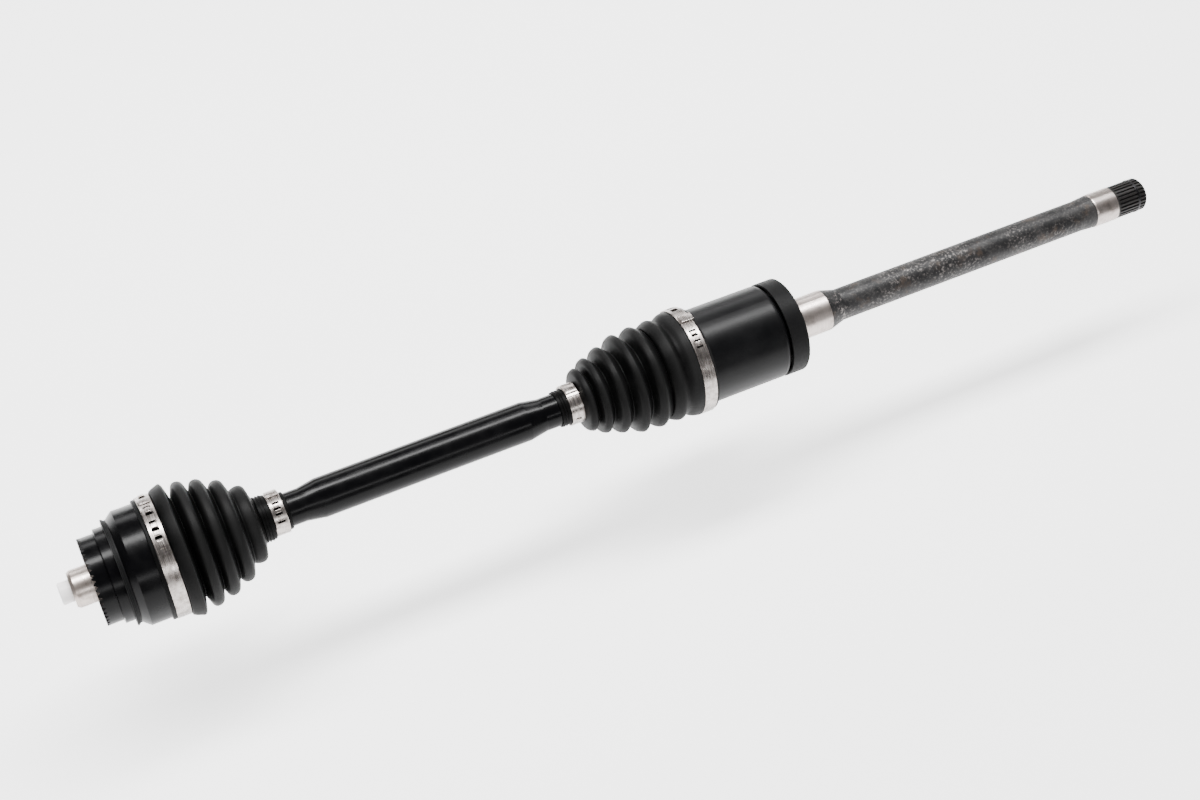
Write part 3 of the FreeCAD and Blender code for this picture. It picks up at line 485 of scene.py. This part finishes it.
# the last valley is shallow, so it clears the shaft when the joint is fully tilted
SPLIT = (inner_valleys[-1][0], 35.2)
inner_valleys[-1] = SPLIT
inner_outline = [
    (104.6, 12.8), (104.7, 13.6), (106.4, 13.9), (107.2, 13.3), (108.4, 13.9), (109.4, 13.3),
    (111.5, 13.9), (111.7, 13.9), (121.4, 13.9), (121.9, 15.8),
]
rounded_rings = [((121.9, 15.8), 0.5)]
for crest, valley in zip(INNER_CRESTS, inner_valleys):
    brow = (crest[0] - BROW_BACK, crest[1] - BROW_DROP)
    inner_outline += [brow, crest, valley]
    rounded_rings += [(brow, 1.8), (crest, 1.3)]
    if valley is not SPLIT:
        rounded_rings += [(valley, 1.2)]
shape = turned(inner_outline)
outward(shape)
for corner, offset in rounded_rings:
    round_ring(shape, *corner, offset)
inner_boot = finish_mesh(shape, "inner_bellows_folds", elastomer, None, "inner_boot")
paint_crest_highlight(inner_boot, INNER_CRESTS)
wall(inner_boot)
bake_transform(inner_boot)

# the cuff: from the last valley over the last crest to its seat on the housing's rim
cuff_outline = [
    SPLIT, (188.0, 37.9), INNER_CRESTS[-1], (197.8, 36.4), (202.6, 39.9), (207.2, 40.9),
    (207.4, 40.0), (217.9, 40.0), (218.0, 40.6), (219.6, 40.2), (219.8, 38.6),
]
shape = turned(cuff_outline)
outward(shape)
for corner, offset in [
    ((188.0, 37.9), 1.8), (INNER_CRESTS[-1], 1.5), ((197.8, 36.4), 2.2), ((202.6, 39.9), 1.6),
]:
    round_ring(shape, *corner, offset)
# three lobes stand out beside the clamp, one over each roller lane
LOBE_AT, LOBE_REACH, LOBE_HEIGHT, FIRST_LOBE = 200.5, 6.5, 1.5, math.radians(-35)
for vert in shape.verts:
    near = max(0.0, 1 - abs(vert.co.x - LOBE_AT) / LOBE_REACH)
    angle = math.atan2(-vert.co.y, vert.co.z) - FIRST_LOBE
    swell = LOBE_HEIGHT * near * max(0.0, math.cos(3 * angle)) ** 2
    radius = math.hypot(vert.co.y, vert.co.z)
    vert.co.y *= 1 + swell / radius
    vert.co.z *= 1 + swell / radius
cuff = finish_mesh(shape, "inner_bellows_cuff", elastomer, None, None)
paint_crest_highlight(cuff, INNER_CRESTS)
wall(cuff)
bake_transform(cuff)

# ------------------------------------------------------------------ band clamps
# Stainless strip, punched with windows and hooks while flat, rolled round the boot, hooked
# on itself and crimped. It is satin, with fine marks along the strip and small dents.
BAND_WIDTH = 10.0
BAND_THICKNESS = 0.7
BAND_EDGE = 0.35
RAIL_SHARE = 0.24
RAILS = [
    0, BAND_EDGE, BAND_WIDTH * RAIL_SHARE, BAND_WIDTH * 0.5,
    BAND_WIDTH * (1 - RAIL_SHARE), BAND_WIDTH - BAND_EDGE, BAND_WIDTH,
]
PUNCHED_COLUMNS = (2, 3)
LAP_LIFT = 0.72
LAP_EDGE_DROP = 0.25
CELL_ANGLE = 4
HOOK_ROUNDING = 0.35
LONG_EDGE = 2
stainless, tree = new_material("stainless_band")
place = add(tree, "TexCoord").outputs["Object"]
streak = add(tree, "TexNoise", {
    "Vector": stretched(tree, 1 / (0.8 * MM), 40), "Scale": 1.0, "Detail": 3.0,
}).outputs["Fac"]
dent = noise(tree, place, 3.5, 4, 0.6)
finish_material(tree, add(tree, "BsdfPrincipled", {
    "Base Color": mix(tree, spread(tree, dent, 0.4, 0.7), "#b3aca8", "#857d78"),
    "Metallic": 1.0,
    "Roughness": spread(tree, streak, 0.3, 0.7, 0.2, 0.34),
    "Normal": bump(tree, dent, 0.08, 0.5),
}))


def strip(length_cuts, windows, lift):
    """A flat punched strip: cells between the cuts, with the windows' cells left out."""
    shape = bmesh.new()
    grid = [[shape.verts.new((x, y, 0)) for x in RAILS] for y in length_cuts]
    for row, (low, high) in enumerate(zip(length_cuts, length_cuts[1:])):
        middle = (low + high) / 2
        punched = any(a < middle < b for a, b in windows)
        for column in range(len(RAILS) - 1):
            if punched and column in PUNCHED_COLUMNS:
                continue
            shape.faces.new((
                grid[row][column], grid[row][column + 1],
                grid[row + 1][column + 1], grid[row + 1][column],
            ))
    loose = [vert for vert in shape.verts if not vert.link_faces]
    bmesh.ops.delete(shape, geom=loose, context="VERTS")
    bmesh.ops.recalc_face_normals(shape, faces=shape.faces)
    bmesh.ops.solidify(shape, geom=shape.faces, thickness=BAND_THICKNESS)
    low = min(vert.co.z for vert in shape.verts)
    bmesh.ops.translate(shape, verts=shape.verts, vec=(0, 0, lift - low))
    bmesh.ops.recalc_face_normals(shape, faces=shape.faces)
    return shape


def rolled(shape, radius, station):
    """Roll a flat strip: its length becomes the angle from the top towards the front."""
    for vert in shape.verts:
        angle = vert.co.y / radius
        reach = radius + vert.co.z
        vert.co = (station + vert.co.x, -reach * math.sin(angle), reach * math.cos(angle))


def cuts(start, end, step, extra):
    """Even cuts from start to end, and the extra ones that fall between them."""
    count = max(1, round((end - start) / step))
    even = [start + (end - start) * n / count for n in range(count + 1)]
    return sorted(set(even) | {value for value in extra if start < value < end})


def clamp(name, node, body, station, radius, lap, windows, hooks):
    """One band clamp. Angles are degrees from the top, positive towards the front.

    The lap and each window run from one angle to another. A hook is its two angles, its two
    edges as shares of the band's width, and its height.
    """
    arc = radius * math.pi / 180
    step = arc * CELL_ANGLE
    below = [(a % 360 * arc, b % 360 * arc) for a, b in windows]
    below_edges = [value for hole in below for value in hole]
    band = strip(cuts(0, 360 * arc, step, below_edges), below, 0.0)
    holes = [(a * arc, b * arc) for a, b in windows]
    edges = [value for hole in holes for value in hole]
    tail = strip(cuts(lap[0] * arc, lap[1] * arc, step / 2, edges), holes, LAP_LIFT)
    for vert in tail.verts:
        if abs(vert.co.x) < SAME_PLACE or abs(vert.co.x - BAND_WIDTH) < SAME_PLACE:
            vert.co.z -= LAP_EDGE_DROP
    parts = [band, tail]
    for start, end, low, high, height in hooks:
        length = (end - start) * arc
        hook = bmesh.new()
        bmesh.ops.create_cube(hook, size=1.0)
        size = ((high - low) * BAND_WIDTH, length, height)
        bmesh.ops.scale(hook, vec=size, verts=hook.verts)
        bmesh.ops.translate(
            hook, verts=hook.verts,
            vec=(
                (low + high) / 2 * BAND_WIDTH, (start + end) / 2 * arc,
                BAND_THICKNESS + height / 2,
            ),
        )
        bmesh.ops.bevel(
            hook, geom=hook.edges, offset=min(HOOK_ROUNDING, height * 0.3), segments=3, profile=0.5,
            affect="EDGES", material=-1,
        )
        bmesh.ops.subdivide_edges(
            hook, edges=[
                edge for edge in hook.edges
                if abs((edge.verts[0].co - edge.verts[1].co).y) > LONG_EDGE
            ],
            cuts=3, use_grid_fill=True,
        )
        parts.append(hook)
    whole = bmesh.new()
    for part in parts:
        rolled(part, radius, station)
        mesh = bpy.data.meshes.new("part")
        part.to_mesh(mesh)
        part.free()
        whole.from_mesh(mesh)
        bpy.data.meshes.remove(mesh)
    bmesh.ops.remove_doubles(whole, verts=whole.verts, dist=MERGE_DISTANCE)
    return finish_mesh(whole, name, stainless, body, node)


clamp("outer_large_band", "outer_boot_large_clamp", "outer_joint", -200.5, 43.25,
      lap=(-62, 34),
      windows=[(-47, -44), (-37, -34), (-16, -13), (-7, -4), (3, 6), (11, 14), (19, 22)],
      hooks=[(-44, -37, 0.3, 0.7, 1.8), (-30, -20, 0.15, 0.85, 1.6), (-13, -7, 0.3, 0.7, 1.8),
             (6, 11, 0.28, 0.72, 1.8), (14, 19, 0.3, 0.7, 1.6), (23, 31, 0.3, 0.7, 1.0)])
clamp("outer_small_band", "outer_boot_small_clamp", "shaft", -117.2, 14.55,
      lap=(-60, 78),
      windows=[(6, 12), (22, 28), (36, 42), (58, 64)],
      hooks=[(-45, -12, 0.05, 0.95, 2.0), (12, 22, 0.3, 0.7, 1.5), (28, 36, 0.3, 0.7, 1.5)])
clamp("inner_small_band", "inner_boot_small_clamp", "shaft", 111.6, 14.4,
      lap=(-95, 16),
      windows=[(-80, -64), (-55, -48)],
      hooks=[(-30, 8, 0.05, 0.95, 2.0), (88, 96, 0.3, 0.7, 1.0)])
clamp("inner_large_band", "inner_boot_large_clamp", "housing", 207.6, 40.35,
      lap=(-56, 36),
      windows=[(-48, -40), (-36, -28), (-17, -14.5), (8, 10), (14, 16), (20, 22), (27, 29)],
      hooks=[(-14, -3, 0.12, 1.12, 2.3), (10, 14, 0.3, 0.7, 1.5), (22, 27, 0.3, 0.7, 1.2)])

# ------------------------------------------------------------------ tripod housing and stub
# One forging: the cup is under black enamel, the journals are ground bare, the long stub keeps
# its forging scale with worn and rusty specks, and the splines are phosphated.
CUP_END = 291.9
JOURNAL_END = 331.5
STUB_END = 578.0
PILOT_END = 598.5
SPLINE_END = 700
SCUFF_START = (336, 339)
SCUFF_END = (343, 347)
housing_enamel, tree = new_material("black_enamel_on_housing")
place = add(tree, "TexCoord").outputs["Object"]
dust = noise(tree, place, 26, 6, 0.6)
finish_material(tree, add(tree, "BsdfPrincipled", {
    "Base Color": mix(tree, spread(tree, dust, 0.4, 0.75), "#050506", "#0d0d0e"),
    "Roughness": spread(tree, dust, 0.3, 0.7, 0.33, 0.37),
    "IOR": 1.5,
    "Specular IOR Level": 0.14,
    "Normal": bump(tree, noise(tree, place, 2.5, 2), 0.006, 0.4),
}))
journal_steel = ground_steel("ground_journal_steel", "#c6bcb7", "#978c86")
forging_scale, tree = new_material("forging_scale")
place = add(tree, "TexCoord").outputs["Object"]
patches = noise(tree, place, 16, 6, 0.65)
specks = noise(tree, place, 2.0, 5, 0.7)
rust = noise(tree, place, 11, 5, 0.6)
worn = spread(tree, noise(tree, place, 34, 3), 0.45, 0.62, 0.15, 0.85)
station = add(tree, "SeparateXYZ", {"Vector": place}).outputs["X"]
scuff = add(tree, "Math", {
    0: spread(tree, station, SCUFF_START[0] * MM, SCUFF_START[1] * MM),
    1: spread(tree, station, SCUFF_END[1] * MM, SCUFF_END[0] * MM),
}, operation="MULTIPLY").outputs[0]
bare = add(tree, "Math", {
    0: scuff, 1: spread(tree, noise(tree, place, 7, 4), 0.44, 0.58, 0.0, 1.6), 2: worn,
}, operation="MULTIPLY_ADD").outputs[0]
bare_specks = add(tree, "Math", {
    0: spread(tree, specks, 0.52, 0.66), 1: bare,
}, operation="MULTIPLY").outputs[0]
tone = mix(tree, spread(tree, patches, 0.42, 0.62), "#141415", "#302f2f")
tone = mix(tree, bare_specks, tone, "#817b78")
tone = mix(tree, spread(tree, rust, 0.56, 0.68, 0.0, 0.6), tone, "#41362e")
finish_material(tree, add(tree, "BsdfPrincipled", {
    "Base Color": tone,
    "Metallic": 0.4,
    "Roughness": spread(tree, specks, 0.3, 0.7, 0.6, 0.42),
    "Normal": bump(tree, patches, 0.35, 0.4),
}))
phosphate, tree = new_material("black_phosphate")
place = add(tree, "TexCoord").outputs["Object"]
finish_material(tree, add(tree, "BsdfPrincipled", {
    "Base Color": mix(tree, noise(tree, place, 3, 5), "#171616", "#2c2a29"),
    "Metallic": 0.5,
    "Roughness": 0.5,
}))
dress_by_station("tripod_housing", [
    (CUP_END, housing_enamel),
    (JOURNAL_END, journal_steel),
    (STUB_END, forging_scale),
    (PILOT_END, journal_steel),
    (SPLINE_END, phosphate),
])

# ------------------------------------------------------------------ shield ring
# Pressed steel dust shield that skirts the housing's end, the same dull black as the ring on
# the bell.
dress("shield_ring", matt_black)
